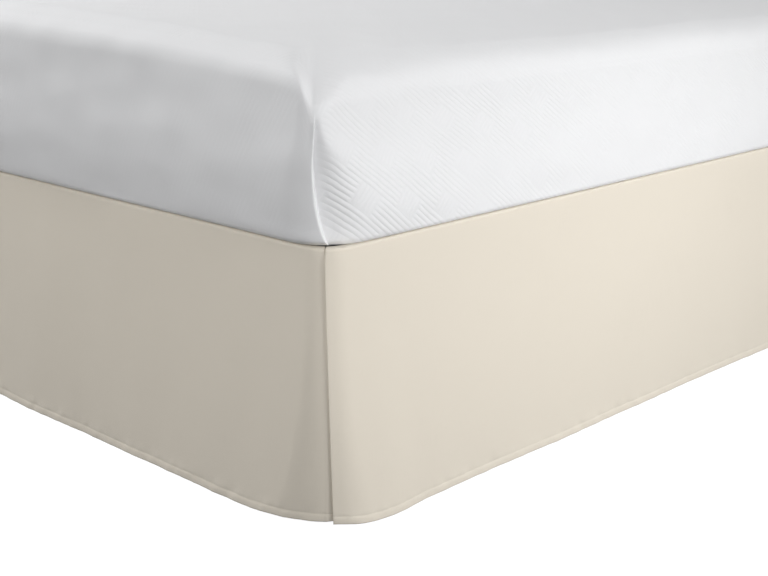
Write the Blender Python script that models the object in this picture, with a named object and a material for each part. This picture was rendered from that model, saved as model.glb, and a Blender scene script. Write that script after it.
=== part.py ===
"""A tailored bed skirt on its bed.

The skirt is three flat drops sewn round a deck, which lies on a box spring and is held there by
the mattress. The drops part at the two foot corners, where each side drop laps over the foot drop,
and the head of the bed is left open. The foot faces -Y, the head +Y, and the floor is z = 0.
"""

from math import cos, exp, pi, sin, sqrt

import bpy

# The bed. The face planes stand on the nominal bed size, and every outset or inset is from them.
BED_WIDTH = 1.524
BED_LENGTH = 2.032
DECK_TOP = 0.381
TOUCH_GAP = 0.0003

# The skirt's cloth and its seams.
CLOTH = 0.0015
HEM_HEIGHT = 0.012
HEM_RAISE = 0.0005
HEM_STEP = 0.001
SHOULDER_RADIUS = 0.004
SEAM_INSET = 0.0145
SEAM_GAP = 0.0006
DECK_RADIUS = 0.0389
HEAD_SETBACK = 0.006

# How each drop hangs. A plan curve of the drop has an outset from its own face plane, an outset
# from the plane round the corner, and a corner radius, at its top and at its hem.
SIDE_HANG = {
    "top": {"own": 0.003, "other": 0.003, "radius": 0.057},
    "hem": {"own": 0.0005, "other": -0.0015, "radius": 0.119},
    "hem_height": 0.0025,
    "start_top": -0.0014,
    "start_hem": 0.0042,
}
FOOT_HANG = {
    "top": {"own": 0.0005, "other": 0.0005, "radius": 0.0545},
    "hem": {"own": 0.0065, "other": 0.002, "radius": 0.160},
    "hem_height": 0.003,
}
LAP = 0.040
LAP_TOP_DROP = 0.008
LAP_ROW_STEP = 0.001
SHOULDER_START = 0.0045
LAP_END = 0.003

# The rows of a drop between its shoulder and its hem, as shares of its height.
FACE_ROWS = (0.25, 0.5, 0.75)
RIPPLE_GROWTH = 1.3

# Soft ripples, a row for each: how far along the drop its middle is, from the corner's diagonal,
# its half width, and how far it stands out at the hem (below zero: falls back).
RIPPLE_COLUMNS = ("along", "half_width", "depth")
RIGHT_SIDE_RIPPLES = (
    (0.098, 0.045, 0.0042),
    (0.283, 0.065, -0.0012),
    (0.398, 0.055, -0.0018),
    (0.543, 0.060, 0.0014),
    (0.840, 0.090, -0.0028),
    (1.130, 0.080, 0.0026),
    (1.420, 0.070, -0.0022),
    (1.700, 0.090, 0.0024),
    (1.930, 0.060, -0.0020),
)
LEFT_SIDE_RIPPLES = (
    (0.104, 0.048, 0.0036),
    (0.330, 0.070, -0.0024),
    (0.610, 0.080, 0.0022),
    (0.900, 0.070, -0.0020),
    (1.210, 0.090, 0.0028),
    (1.520, 0.080, -0.0026),
    (1.800, 0.070, 0.0020),
)
FOOT_RIPPLES = (
    (0.150, 0.050, -0.0006),
    (0.520, 0.070, -0.0022),
    (0.700, 0.060, 0.0006),
    (0.880, 0.075, -0.0026),
    (1.110, 0.060, 0.0004),
    (1.300, 0.060, -0.0014),
)

# Columns of a drop: close together round a corner, wider apart on the straight.
CORNER_STEP = 0.009
CORNER_REACH = 0.108
STRAIGHT_STEP = 0.034

# The mattress, in its plain woven cover.
MATTRESS_OUTSET = 0.008
MATTRESS_HEIGHT = 0.229
MATTRESS_RADIUS = 0.062
MATTRESS_FOOT_IN = 0.014
MATTRESS_FOOT_UP = 0.028
MATTRESS_EDGE_IN = 0.038
MATTRESS_EDGE_UP = 0.036
MATTRESS_CROWN = 0.013
MATTRESS_WAIST = 0.002
CROWN_RINGS = (0.08, 0.18, 0.34, 0.56)
EDGE_STEPS = 4

# The box spring and its legs.
BOX_INSET = 0.008
BOX_RADIUS = 0.095
BOX_BOTTOM = 0.150
BOX_EDGE = 0.015
LEG_TOP_RADIUS = 0.027
LEG_FOOT_RADIUS = 0.019
LEG_SIDES = 20
LEG_X = 0.680
LEG_ROWS_Y = {"foot": -0.930, "middle": 0.0, "head": 0.930}

# How many flats a rounded corner has, how many a straight side between corners, and the least
# angle, in radians, that shows as a sharp edge.
CORNER_STEPS = 8
SIDE_STEPS = 5
SHARP_ANGLE = 0.6

# Colour, roughness and metallic value of each kind of piece.
FINISHES = {
    "skirt_cloth": ((0.715, 0.655, 0.565), 0.92, 0.0),
    "deck_cloth": ((0.745, 0.715, 0.655), 0.95, 0.0),
    "mattress_cover": ((0.830, 0.835, 0.845), 0.90, 0.0),
    "box_spring_cover": ((0.640, 0.630, 0.610), 0.93, 0.0),
    "leg_wood": ((0.180, 0.105, 0.060), 0.45, 0.0),
}

HALF_WIDTH = BED_WIDTH / 2
HALF_LENGTH = BED_LENGTH / 2


def mix(low, high, share):
    return low + (high - low) * share


def clear_scene():
    for thing in list(bpy.data.objects):
        bpy.data.objects.remove(thing, do_unlink=True)


def finish_for(name, kind):
    """A Principled material of the piece's own."""
    colour, roughness, metallic = FINISHES[kind]
    material = bpy.data.materials.new(name + "_" + kind)
    material.use_nodes = True
    shader = material.node_tree.nodes["Principled BSDF"]
    shader.inputs["Base Color"].default_value = (*colour, 1.0)
    shader.inputs["Roughness"].default_value = roughness
    shader.inputs["Metallic"].default_value = metallic
    material.diffuse_color = (*colour, 1.0)
    return material


def add_piece(name, kind, points, faces):
    mesh = bpy.data.meshes.new(name)
    mesh.from_pydata(points, [], faces)
    mesh.update()
    mesh.shade_smooth()
    mesh.set_sharp_from_angle(angle=SHARP_ANGLE)
    mesh.materials.append(finish_for(name, kind))
    piece = bpy.data.objects.new(name, mesh)
    bpy.context.scene.collection.objects.link(piece)
    return piece


# ---------------------------------------------------------------- the drops


def corner_path(shape, along):
    """A point and its outward normal on a plan curve that turns a foot corner.

    along runs from the corner's diagonal, above zero on the face that the drop belongs to and
    below zero round the corner. p is the way along that face from the corner, and q is the way in
    from the face plane.
    """
    radius = shape["radius"]
    centre_p = radius - shape["other"]
    centre_q = radius - shape["own"]
    half_turn = radius * pi / 4
    if along > half_turn:
        return centre_p + along - half_turn, -shape["own"], 0.0, -1.0
    if along < -half_turn:
        return -shape["other"], centre_q - half_turn - along, -1.0, 0.0
    turn = pi / 4 - along / radius
    return centre_p - radius * sin(turn), centre_q - radius * cos(turn), -sin(turn), -cos(turn)


def straight_along(shape, reach):
    """The distance along a plan curve at which it has gone this far from the corner's plane."""
    return reach + shape["other"] - shape["radius"] * (1 - pi / 4)


def shape_at(hang, share):
    """The plan curve at this share of the way from the drop's top to its hem."""
    return {key: mix(hang["top"][key], hang["hem"][key], share) for key in hang["top"]}


def ripple(rows, along, share):
    total = 0.0
    for row in rows:
        wave = dict(zip(RIPPLE_COLUMNS, row))
        total += wave["depth"] * exp(-(((along - wave["along"]) / wave["half_width"]) ** 2))
    return total * max(share, 0.0) ** RIPPLE_GROWTH


def drop_section(hang, lapped):
    """The rows of a drop's closed section, from the seam down its outer side and up its inner one.

    Each is (height, way in from the outer face). Under a lap the shoulder isn't turned in: its
    rows stand straight, one below the other.
    """
    turned = SEAM_INSET + hang["top"]["own"]
    hem = hang["hem_height"]
    slant = SHOULDER_RADIUS * (1 - sqrt(0.5))
    inner_slant = CLOTH + (SHOULDER_RADIUS - CLOTH) * (1 - sqrt(0.5))
    outer = [
        (DECK_TOP, turned),
        (DECK_TOP, SHOULDER_RADIUS),
        (DECK_TOP - slant, slant),
        (DECK_TOP - SHOULDER_RADIUS, 0.0),
    ]
    inner = [
        (DECK_TOP - CLOTH, turned),
        (DECK_TOP - CLOTH, SHOULDER_RADIUS),
        (DECK_TOP - inner_slant, inner_slant),
        (DECK_TOP - SHOULDER_RADIUS, CLOTH),
    ]
    if lapped:
        heights = [DECK_TOP - LAP_TOP_DROP - step * LAP_ROW_STEP for step in range(len(outer))]
        outer = [(height, 0.0) for height in heights]
        inner = [(height, CLOTH) for height in heights]
    for share in FACE_ROWS:
        height = mix(DECK_TOP, hem, share)
        outer.append((height, 0.0))
        inner.append((height, CLOTH))
    outer += [
        (hem + HEM_HEIGHT + HEM_STEP, 0.0),
        (hem + HEM_HEIGHT, -HEM_RAISE),
        (hem, -HEM_RAISE),
    ]
    inner += [
        (hem + HEM_HEIGHT + HEM_STEP, CLOTH),
        (hem + HEM_HEIGHT, CLOTH + HEM_RAISE),
        (hem, CLOTH + HEM_RAISE),
    ]
    return outer, inner


def columns_between(start, end):
    """Places along a drop, close together near its corner and evenly spaced beyond it."""
    near = [start + step * CORNER_STEP for step in range(int((CORNER_REACH - start) / CORNER_STEP))]
    first = near[-1] + CORNER_STEP
    count = round((end - first) / STRAIGHT_STEP)
    straight = [mix(first, end, step / count) for step in range(count + 1)]
    return near + straight


def strip_body(columns):
    """Points and faces of a closed strip. Each column is its outer points and its inner ones."""
    points = []
    for outer, inner in columns:
        points += outer + inner
    rows = len(columns[0][0])
    size = 2 * rows
    loop = list(range(rows)) + [size - 1 - row for row in range(rows)]
    faces = []
    for column in range(len(columns) - 1):
        here = column * size
        there = here + size
        for step, row in enumerate(loop):
            following = loop[(step + 1) % size]
            faces.append((here + row, there + row, there + following, here + following))
    last = (len(columns) - 1) * size
    for row in range(rows - 1):
        faces.append((row, row + 1, rows + row + 1, rows + row))
        faces.append((last + row, last + rows + row, last + rows + row + 1, last + row + 1))
    return points, faces


def turned_out(faces, mirrored):
    return [tuple(reversed(face)) for face in faces] if mirrored else faces


def side_drop(name, side, ripples):
    """One side drop, from the split at the foot corner to the head. side is 1 for +X, -1 for -X."""
    outer, inner = drop_section(SIDE_HANG, lapped=False)
    reach = BED_LENGTH - HEAD_SETBACK
    nominal = straight_along(SIDE_HANG["top"], reach)

    def place(column, height, inward):
        share = (DECK_TOP - height) / (DECK_TOP - SIDE_HANG["hem_height"])
        shape = shape_at(SIDE_HANG, share)
        start = mix(SIDE_HANG["start_top"], SIDE_HANG["start_hem"], share)
        end = straight_along(shape, reach)
        along = mix(start, end, column / nominal)
        p, q, normal_p, normal_q = corner_path(shape, along)
        out = ripple(ripples, column, share) - inward
        p += normal_p * out
        q += normal_q * out
        return (side * (HALF_WIDTH - q), p - HALF_LENGTH, height)

    columns = [
        (
            [place(column, height, inward) for height, inward in outer],
            [place(column, height, inward) for height, inward in inner],
        )
        for column in columns_between(0.0, nominal)
    ]
    points, faces = strip_body(columns)
    return add_piece(name, "skirt_cloth", points, turned_out(faces, side > 0))


def foot_drop(name):
    """The foot drop, round both foot corners to its laps behind the side drops."""
    nominal_half = straight_along(FOOT_HANG["top"], HALF_WIDTH)
    full = 2 * nominal_half

    def place(column, corner, height, inward):
        """column runs from this corner's diagonal, and corner is 1 for +X and -1 for -X."""
        share = (DECK_TOP - height) / (DECK_TOP - FOOT_HANG["hem_height"])
        shape = shape_at(FOOT_HANG, share)
        along = column
        if column > 0:
            along = column * straight_along(shape, HALF_WIDTH) / nominal_half
        p, q, normal_p, normal_q = corner_path(shape, along)
        from_right = column if corner > 0 else full - column
        out = ripple(FOOT_RIPPLES, from_right, share) - inward
        p += normal_p * out
        q += normal_q * out
        return (corner * (HALF_WIDTH - p), q - HALF_LENGTH, height)

    def column_points(column, corner):
        outer, inner = drop_section(FOOT_HANG, lapped=column <= LAP_END)
        return (
            [place(column, corner, height, inward) for height, inward in outer],
            [place(column, corner, height, inward) for height, inward in inner],
        )

    lap_steps = round(LAP / CORNER_STEP)
    half = [-LAP + step * (LAP + LAP_END) / lap_steps for step in range(lap_steps)]
    half += [LAP_END]
    half += columns_between(SHOULDER_START, nominal_half)
    right = [column_points(column, 1) for column in half]
    left = [column_points(column, -1) for column in reversed(half[:-1])]
    points, faces = strip_body(right + left)
    return add_piece(name, "skirt_cloth", points, faces)


# ---------------------------------------------------------------- rounded boxes


def ring(half_x, half_y, radius, height):
    """A rounded rectangle of points at one height, anticlockwise seen from above."""
    points = []
    corners = ((1, 1, 0.0), (-1, 1, pi / 2), (-1, -1, pi), (1, -1, 3 * pi / 2))
    for sign_x, sign_y, start in corners:
        centre_x = sign_x * (half_x - radius)
        centre_y = sign_y * (half_y - radius)
        for step in range(CORNER_STEPS + 1):
            angle = start + step * (pi / 2) / CORNER_STEPS
            points.append((centre_x + radius * cos(angle), centre_y + radius * sin(angle)))
    spaced = []
    for index, (x, y) in enumerate(points):
        next_x, next_y = points[(index + 1) % len(points)]
        steps = SIDE_STEPS if index % (CORNER_STEPS + 1) == CORNER_STEPS else 1
        for step in range(steps):
            share = step / steps
            spaced.append((mix(x, next_x, share), mix(y, next_y, share), height))
    return spaced


def stacked(rings):
    """Points and faces of a body made of rings, from the lowest to the highest."""
    points = [point for each in rings for point in each]
    size = len(rings[0])
    faces = [tuple(reversed(range(size)))]
    for level in range(len(rings) - 1):
        here = level * size
        for step in range(size):
            following = (step + 1) % size
            faces.append((here + step, here + following, here + size + following, here + size + step))
    faces.append(tuple(range((len(rings) - 1) * size, len(rings) * size)))
    return points, faces


def body_ring(outset, radius, height):
    """A ring of the bed's plan, this far outside its face planes."""
    return ring(HALF_WIDTH + outset, HALF_LENGTH + outset, radius, height)


def mattress(name):
    """A mattress with rounded edges and a slight crown, drawn in a little below."""
    bottom = DECK_TOP + TOUCH_GAP
    side_top = bottom + MATTRESS_HEIGHT - MATTRESS_EDGE_UP
    rings = []
    for step in range(EDGE_STEPS + 1):
        angle = (pi / 2) * step / EDGE_STEPS
        inward = MATTRESS_FOOT_IN * (1 - sin(angle)) + MATTRESS_WAIST
        height = bottom + MATTRESS_FOOT_UP * (1 - cos(angle))
        rings.append(body_ring(MATTRESS_OUTSET - inward, MATTRESS_RADIUS - inward, height))
    middle = mix(bottom + MATTRESS_FOOT_UP, side_top, 0.5)
    rings.append(body_ring(MATTRESS_OUTSET, MATTRESS_RADIUS, middle))
    for step in range(EDGE_STEPS + 1):
        angle = (pi / 2) * step / EDGE_STEPS
        inward = MATTRESS_EDGE_IN * (1 - cos(angle)) + MATTRESS_WAIST
        height = side_top + MATTRESS_EDGE_UP * sin(angle)
        rings.append(body_ring(MATTRESS_OUTSET - inward, MATTRESS_RADIUS - inward, height))
    edge_top = side_top + MATTRESS_EDGE_UP
    for inset in CROWN_RINGS:
        rise = MATTRESS_CROWN * sin((pi / 2) * inset / CROWN_RINGS[-1])
        rings.append(body_ring(-inset, MATTRESS_RADIUS - MATTRESS_EDGE_IN, edge_top + rise))
    points, faces = stacked(rings)
    return add_piece(name, "mattress_cover", points, faces)


def box_spring(name):
    """The box spring, a rounded box set in behind the drops."""
    top = DECK_TOP - CLOTH - TOUCH_GAP
    rings = []
    for height, way in ((BOX_BOTTOM, 1), (top, -1)):
        steps = range(EDGE_STEPS + 1) if way > 0 else range(EDGE_STEPS, -1, -1)
        for step in steps:
            angle = (pi / 2) * step / EDGE_STEPS
            inward = BOX_EDGE * (1 - sin(angle))
            level = height + way * BOX_EDGE * (1 - cos(angle))
            rings.append(body_ring(-BOX_INSET - inward, BOX_RADIUS - inward, level))
    points, faces = stacked(rings)
    return add_piece(name, "box_spring_cover", points, faces)


def deck(name):
    """The flat cloth that the drops are sewn to, as long as the box spring."""
    inset = SEAM_INSET + SEAM_GAP
    levels = (DECK_TOP - CLOTH, DECK_TOP)
    rings = [body_ring(-inset, DECK_RADIUS, height) for height in levels]
    points, faces = stacked(rings)
    return add_piece(name, "deck_cloth", points, faces)


def leg(name, x, y):
    """A plain turned leg, tapered to its foot."""
    levels = ((0.0, LEG_FOOT_RADIUS), (BOX_BOTTOM - TOUCH_GAP, LEG_TOP_RADIUS))
    rings = []
    for height, radius in levels:
        angles = [2 * pi * step / LEG_SIDES for step in range(LEG_SIDES)]
        rings.append([(radius * cos(angle), radius * sin(angle), height) for angle in angles])
    points, faces = stacked(rings)
    piece = add_piece(name, "leg_wood", points, faces)
    piece.location = (x, y, 0.0)
    return piece


def main():
    clear_scene()
    deck("deck")
    side_drop("side_drop_right", 1, RIGHT_SIDE_RIPPLES)
    side_drop("side_drop_left", -1, LEFT_SIDE_RIPPLES)
    foot_drop("foot_drop")
    mattress("mattress")
    box_spring("box_spring")
    for row, y in LEG_ROWS_Y.items():
        leg("leg_" + row + "_right", LEG_X, y)
        leg("leg_" + row + "_left", -LEG_X, y)


main()
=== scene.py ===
"""The looks of a tailored bed skirt on its bed.

Every size is in metres, in the frame's own axes: the foot of the bed faces -Y, the head +Y, and
the floor is z = 0. The drops and the mattress are built on the same curves as their solids, with
the hem, the folded corner and the cloth's unevenness added.
"""

from math import cos, pi, radians, sin, sqrt

import bpy
import numpy as np
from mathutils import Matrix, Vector


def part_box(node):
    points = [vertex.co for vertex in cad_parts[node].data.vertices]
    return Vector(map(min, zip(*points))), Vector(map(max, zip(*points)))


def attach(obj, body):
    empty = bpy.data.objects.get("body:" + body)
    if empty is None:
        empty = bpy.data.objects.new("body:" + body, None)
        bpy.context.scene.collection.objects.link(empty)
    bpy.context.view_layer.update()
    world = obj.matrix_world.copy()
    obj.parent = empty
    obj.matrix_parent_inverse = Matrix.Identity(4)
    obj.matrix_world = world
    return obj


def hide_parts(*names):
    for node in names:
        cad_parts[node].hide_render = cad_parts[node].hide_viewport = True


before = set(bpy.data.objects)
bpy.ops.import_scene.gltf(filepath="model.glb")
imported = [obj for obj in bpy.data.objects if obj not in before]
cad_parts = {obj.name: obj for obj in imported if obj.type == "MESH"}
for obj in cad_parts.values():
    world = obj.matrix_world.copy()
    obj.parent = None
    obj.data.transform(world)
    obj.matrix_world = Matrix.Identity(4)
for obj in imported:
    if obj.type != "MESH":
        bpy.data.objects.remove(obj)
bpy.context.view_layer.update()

# ---- sizes

BED_WIDTH = 1.524
BED_LENGTH = 2.032
HALF_WIDTH = BED_WIDTH / 2
HALF_LENGTH = BED_LENGTH / 2
DECK_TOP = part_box("deck")[1].z

# The drops' cloth, their seam on the deck, and how they hang: each plan curve has an outset from
# its own face plane, an outset from the plane round the corner, and a corner radius. The corner_
# values raise the hem there, and the start_ values place a side drop's free edge.
CLOTH = 0.0015
SHOULDER_RADIUS = 0.004
SHOULDER_STEPS = 6
SEAM_INSET = 0.0145
HEAD_SETBACK = 0.006
SIDE_HANG = {
    "top": {"own": 0.003, "other": 0.003, "radius": 0.038},
    "hem": {"own": 0.0005, "other": -0.0015, "radius": 0.085},
    "hem_height": 0.0025,
    "corner_rise": 0.0068,
    "corner_reach": 0.046,
    "corner_power": 2.0,
    "start_top": -0.0014,
    "start_cut": 0.0018,
    "start_hem": 0.0042,
}
FOOT_HANG = {
    "top": {"own": 0.0005, "other": 0.0005, "radius": 0.0355},
    "hem": {"own": 0.0065, "other": 0.0, "radius": 0.105},
    "hem_height": 0.003,
    "corner_rise": 0.0100,
    "corner_reach": 0.098,
    "corner_power": 3.0,
}
CORNER_OPENING = 2.4
CORNER_RISE_HEIGHT = 0.16

# The depths below the top between which a side drop's free edge is cut back by its start_cut.
START_CUT = (0.010, 0.004)

# The foot drop's lap behind each side drop: how far it goes, the two places from the corner's
# diagonal between which its top edge is cut down, and how low, slanted and flat that edge is.
LAP = 0.040
LAP_START = 0.0014
LAP_END = -0.0002
LAP_TOP_DROP = 0.0022
LAP_TOP_REACH = 0.006
LAP_SLANT = 0.05
LAP_SQUEEZE = 0.6

# How far the lap is pressed out, how far it is held clear of the side drop, in all and near its
# top, and the depths below the top between which this comes in.
LAP_PRESS = 0.0004
LAP_PRESS_IN = (0.004, 0.020)
LAP_CLEAR = 0.0017
LAP_CLEAR_REACH = 0.014
LAP_CLEAR_TOP = 0.0007
LAP_CLEAR_TOP_IN = (0.030, 0.010)

# Soft ripples, a row for each: how far along the drop its middle is, from the corner's diagonal,
# its half width, and how far it stands out at the hem (below zero: falls back).
RIPPLE_GROWTH = 1.3
RIGHT_SIDE_RIPPLES = (
    (0.098, 0.045, 0.0042), (0.283, 0.065, -0.0012), (0.398, 0.055, -0.0018),
    (0.543, 0.060, 0.0014), (0.840, 0.090, -0.0028), (1.130, 0.080, 0.0026),
    (1.420, 0.070, -0.0022), (1.700, 0.090, 0.0024), (1.930, 0.060, -0.0020),
)
LEFT_SIDE_RIPPLES = (
    (0.104, 0.048, 0.0036), (0.330, 0.070, -0.0024), (0.610, 0.080, 0.0022),
    (0.900, 0.070, -0.0020), (1.210, 0.090, 0.0028), (1.520, 0.080, -0.0026),
    (1.800, 0.070, 0.0020),
)
FOOT_RIPPLES = (
    (0.150, 0.050, -0.0006), (0.520, 0.070, -0.0022), (0.700, 0.060, 0.0006),
    (0.880, 0.075, -0.0026), (1.110, 0.060, 0.0004), (1.300, 0.060, -0.0014),
)

# The hem's section, from above its stitches down to the edge and up inside. Each row is the rise
# above the edge and how far the surface stands out from the drop's outer face.
HEM_OUTSIDE = (
    (0.0180, 0.0), (0.0150, 0.0), (0.0133, -0.0001), (0.0122, -0.0003), (0.0112, -0.0001),
    (0.0098, 0.0002), (0.0078, 0.0005), (0.0050, 0.0006), (0.0024, 0.0006),
    (0.0009, 0.0004), (0.0002, 0.0000), (0.0, -0.0005),
)
HEM_INSIDE = (
    (0.0, -0.0012), (0.0003, -0.0017), (0.0010, -0.0020), (0.0030, -0.0021),
    (0.0080, -0.0021), (0.0113, -0.0019), (0.0123, -0.0017), (0.0140, -0.0015),
    (0.0180, -0.0015),
)
STITCH_RISE = 0.0121
STITCH_PITCH = 0.0030
STITCH_LENGTH = 0.0023
STITCH_RADIUS = 0.00030
STITCH_SIDES = 6
STITCH_OUT = -0.0004
STITCH_MARGIN = 0.005
STITCH_JITTER = 0.00015
STITCH_SWAY = 0.00012

# The cloth's unevenness. Each is its size, and the shortest and the longest of its waves.
CALM = (0.00028, 0.07, 0.26)
BROAD = (0.0007, 0.30, 0.70)
PUCKER = (0.00036, 0.018, 0.052)
DIMPLE = (0.00024, 0.011, 0.030)
HEM_SWAY = (0.00035, 0.05, 0.30)
PUCKER_WAVES = 14
DIMPLE_WAVES = 12
CALM_UPRIGHT = 0.35
BROAD_UPRIGHT = 0.3
BROAD_FROM_SHARE = 0.35
PUCKER_SLANT = 0.9
PUCKER_RISE = (0.030, 0.010)
DIMPLE_REACH = 0.009
HEM_SWAY_HEIGHT = 0.06
TAUT_TOP = 0.05

# Beside a side drop's free edge: how far the cloth stands out, over what reach, and the depths
# below the top between which this comes in. EDGE_PINCH is how far a rolled edge closes.
SPLIT_CURL = (0.0008, 0.0040, 0.006, 0.040)
SPLIT_MEET = (-0.0009, 0.012, 0.020, 0.004)
EDGE_PINCH = 0.92

# How close together a drop's columns and rows are, near the corners and beyond.
FINE_REACH = 0.70
FINE_STEP = 0.0042
COARSE_STEP = 0.0085
ROW_STEP = 0.0080
EDGE_COLUMNS = 5

# The mattress. Heights are above the floor, and a set is how far it stands out from the bed's face
# planes. Its columns are spaced as if its corners turned with MATTRESS_TURN.
MATTRESS_TURN = 0.064
MATTRESS_FOOT_SET = -0.0022
MATTRESS_LIP = 0.0080
MATTRESS_LIP_SET = -0.0040
BOTTOM_SETS = (-0.60, -0.30, -0.10, -0.035, -0.010)
LIP_STEPS = 12
WALL_STEPS = 36
EDGE_STEPS = 16
TOP_STEPS = 34
TOP_OPENING = 0.030
TOP_SPREAD = 1.25
COLUMN_STEP = 0.0009
COLUMN_GROWTH = 0.13
COLUMN_MOST = 0.0150
COLUMN_LEFT = 0.012

# Its corners' plan radius: on the drops, a little above them, on the wall and round the top edge.
CORNER_CONTACT_RADIUS = 0.0640
CORNER_CONTACT_REACH = 0.020
CORNER_LOW_RADIUS = 0.076
CORNER_LOW_AT = 0.420
CORNER_LOW_REACH = 0.072
CORNER_RADIUS = 0.024
CORNER_ROLL_RADIUS = 0.060
CORNER_ROLL_IN = (0.545, 0.600)
CORNER_INSET_SHARE = 0.4
CORNER_LEAST_RADIUS = 0.018

# How its sides draw in, how its foot face leans out, and how its corners lean towards the foot.
SIDE_DRAW_IN = 0.0085
SIDE_DRAW_RISE = (0.410, 0.560)
FOOT_BULGE = 0.024
FOOT_BULGE_REACH = 0.190
FOOT_BULGE_SHARE = 0.7
FOOT_BULGE_POWER = 1.7
FOOT_BULGE_LOW_POWER = 6
FOOT_BULGE_FADE = 0.015
FOOT_LEAN_END = 0.240
CORNER_SKEW = 0.0088
CORNER_SKEW_RISE = (0.405, 0.500)
CORNER_SKEW_FADE = (0.300, 0.02)

# Its top edge: how far below the solid's top it starts, its roll in the section and as it is on
# the sides and on the foot, the top's arch, the sag of the sides' edge and the section's crown.
EDGE_BELOW_TOP = 0.013
EDGE_TOP_SET = -0.032
EDGE_UP = 0.036
MATTRESS_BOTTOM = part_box("mattress")[0].z
EDGE_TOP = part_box("mattress")[1].z - EDGE_BELOW_TOP
SIDE_TOP = EDGE_TOP - EDGE_UP
SIDE_ROLL = 0.042
SIDE_ROLL_IN = 0.044
FOOT_ROLL = 0.022
FOOT_ROLL_IN = 0.026
ROLL_TURN = 0.030
ROLL_FROM = 0.450
ROLL_IN_REACH = 0.200
ARCH = 0.036
ARCH_REACH = 0.26
ARCH_BEYOND = 0.02
ARCH_START = 0.05
SIDE_SAG = 0.013
SIDE_SAG_REACH = 0.27
SIDE_SAG_IN = 0.25
CROWN = 0.002
CROWN_REACH = 0.56

# The mitred fold of its cover at each corner. Its line is how far it lies from the corner's
# diagonal, towards the foot, at each height.
FOLD_LINE = (
    (0.381, -0.0025), (0.404, 0.0059), (0.427, 0.0071), (0.453, 0.0080), (0.486, 0.0034),
    (0.515, 0.0006), (0.545, -0.0045),
)
FOLD_LINE_DEGREE = 4
FOLD_LINE_REACH = 0.085
FOLD_TOP = 0.545
FOLD_FADE = 0.006
FOLD_PROUD = 0.0034
FOLD_PROUD_FADE = 0.070
FOLD_PROUD_ABOVE = 0.004
FOLD_LOW_SHARE = 0.45
FOLD_LOW_REACH = 0.012
FOLD_LIP_REACH = 0.007
FOLD_LIP_SHARE = 0.9
FOLD_EDGE = 0.0020
FOLD_EDGE_TURN = radians(100)
FOLD_EDGE_STEPS = 8
FOLD_UNDER_FROM = 0.0001
FOLD_UNDER = 0.0006
FOLD_UNDER_STEPS = 5
FOLD_LAYER_REACH = 0.080
BESIDE_FOLD = -0.0002
HOLLOW_TOP_DEPTH = 0.0024
HOLLOW_DEPTH = 0.0130
HOLLOW_LOW = 0.462
HOLLOW_REACH = 0.086
HOLLOW_REACH_TOP = 0.016
HOLLOW_LOW_SHARE = 0.60
HOLLOW_LOW_REACH = 0.060

# Where the cover's weave stands out: in full on the sides' faces, less on the top and the foot,
# and hardly along the seam above the fold. Pairs are where it comes in or goes out.
WEAVE_SIDE_IN = (0.002, 0.026)
WEAVE_SIDE_OUT = (0.62, 0.26)
WEAVE_SIDE_TOP = (0.590, 0.530)
WEAVE_FOOT_IN = (0.004, -0.004)
WEAVE_FOOT_TOP = (0.600, 0.570)
SEAM_REACH = 0.010
SEAM_RISE = (0.541, 0.547)
SEAM_FLATNESS = 0.9
CLOTH_SPREAD = 0.06

# The mattress's own unevenness, as the drops' above, and how slanted its waves are.
MATTRESS_SEED = 41
SWAY_UPRIGHT = 1.5
SWAY_SLANT = 0.4
FINE_SWAY_UPRIGHT = 1.2
SWAY = (0.0009, 0.16, 0.45)
FINE_SWAY = (0.0004, 0.05, 0.12)
LUMPS = (0.0016, 0.22, 0.60)
FINE_LUMPS = (0.0005, 0.07, 0.16)
LUMPS_SET = -0.0012
RESTING_REACH = 0.012

# The plain pieces. A ring's steps are those round each corner and those along each side.
DECK_RADIUS = 0.0389
DECK_RING_STEPS = (12, 40)
DECK_ROLL_STEPS = 6
BOX_RADIUS = 0.095
BOX_EDGE = 0.015
BOX_SEAM_AT = 0.026
BOX_SEAM = 0.0016
BOX_SEAM_REACH = 0.0022
BOX_CROWN = 0.0012
BOX_STEPS = 60
BOX_EDGE_STEPS = 8
BOX_RING_STEPS = (20, 48)
LEG_FOOT_RADIUS = 0.019
LEG_EASE = 0.0018
LEG_EASE_STEPS = 5
LEG_STEPS = 12
LEG_SIDES = 48


def mix(low, high, share):
    return low + (high - low) * share


def smooth_step(low, high, value):
    share = np.clip((value - low) / (high - low), 0.0, 1.0)
    return share * share * (3 - 2 * share)


def bell(value, reach):
    """1 at zero, fading evenly to both sides."""
    return np.exp(-((value / reach) ** 2))


def together(*parts):
    """Arrays of coordinates as one array, with a place's coordinates in its last axis."""
    return np.stack(np.broadcast_arrays(*parts), axis=-1)


def uneven(seed, across, down, shortest, longest, count=9):
    """A smooth random field of about unit size, made of waves between two lengths."""
    rng = np.random.default_rng(seed)
    total = 0.0
    for _ in range(count):
        length = rng.uniform(shortest, longest)
        turn = rng.uniform(0, pi)
        phase = rng.uniform(0, 2 * pi)
        way = across * cos(turn) + down * sin(turn)
        total = total + np.sin(2 * pi * way / length + phase)
    return total / sqrt(count / 2)


def quarter_turn(steps, first=0):
    """The angles of a quarter turn in this many steps, from the first step asked for."""
    return [(pi / 2) * step / steps for step in range(first, steps + 1)]


def eased(radius, steps):
    """A rounded edge, from a flat end outwards: (way in, rise) rows."""
    return [(radius * (1 - sin(a)), radius * (1 - cos(a))) for a in quarter_turn(steps)]


def waves(kind, seed, across, down, count=9):
    """One of the cloth's kinds of unevenness."""
    size, shortest, longest = kind
    return size * uneven(seed, across, down, shortest, longest, count)


def spread_steps(start, end, step_at):
    """Places from start to end, each a step on from the last, as step_at says for that place."""
    places = [start]
    while places[-1] < end:
        places.append(places[-1] + step_at(places[-1]))
    share = (end - start) / (places[-1] - start)
    return [start + (place - start) * share for place in places]


# ---- meshes


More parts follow.
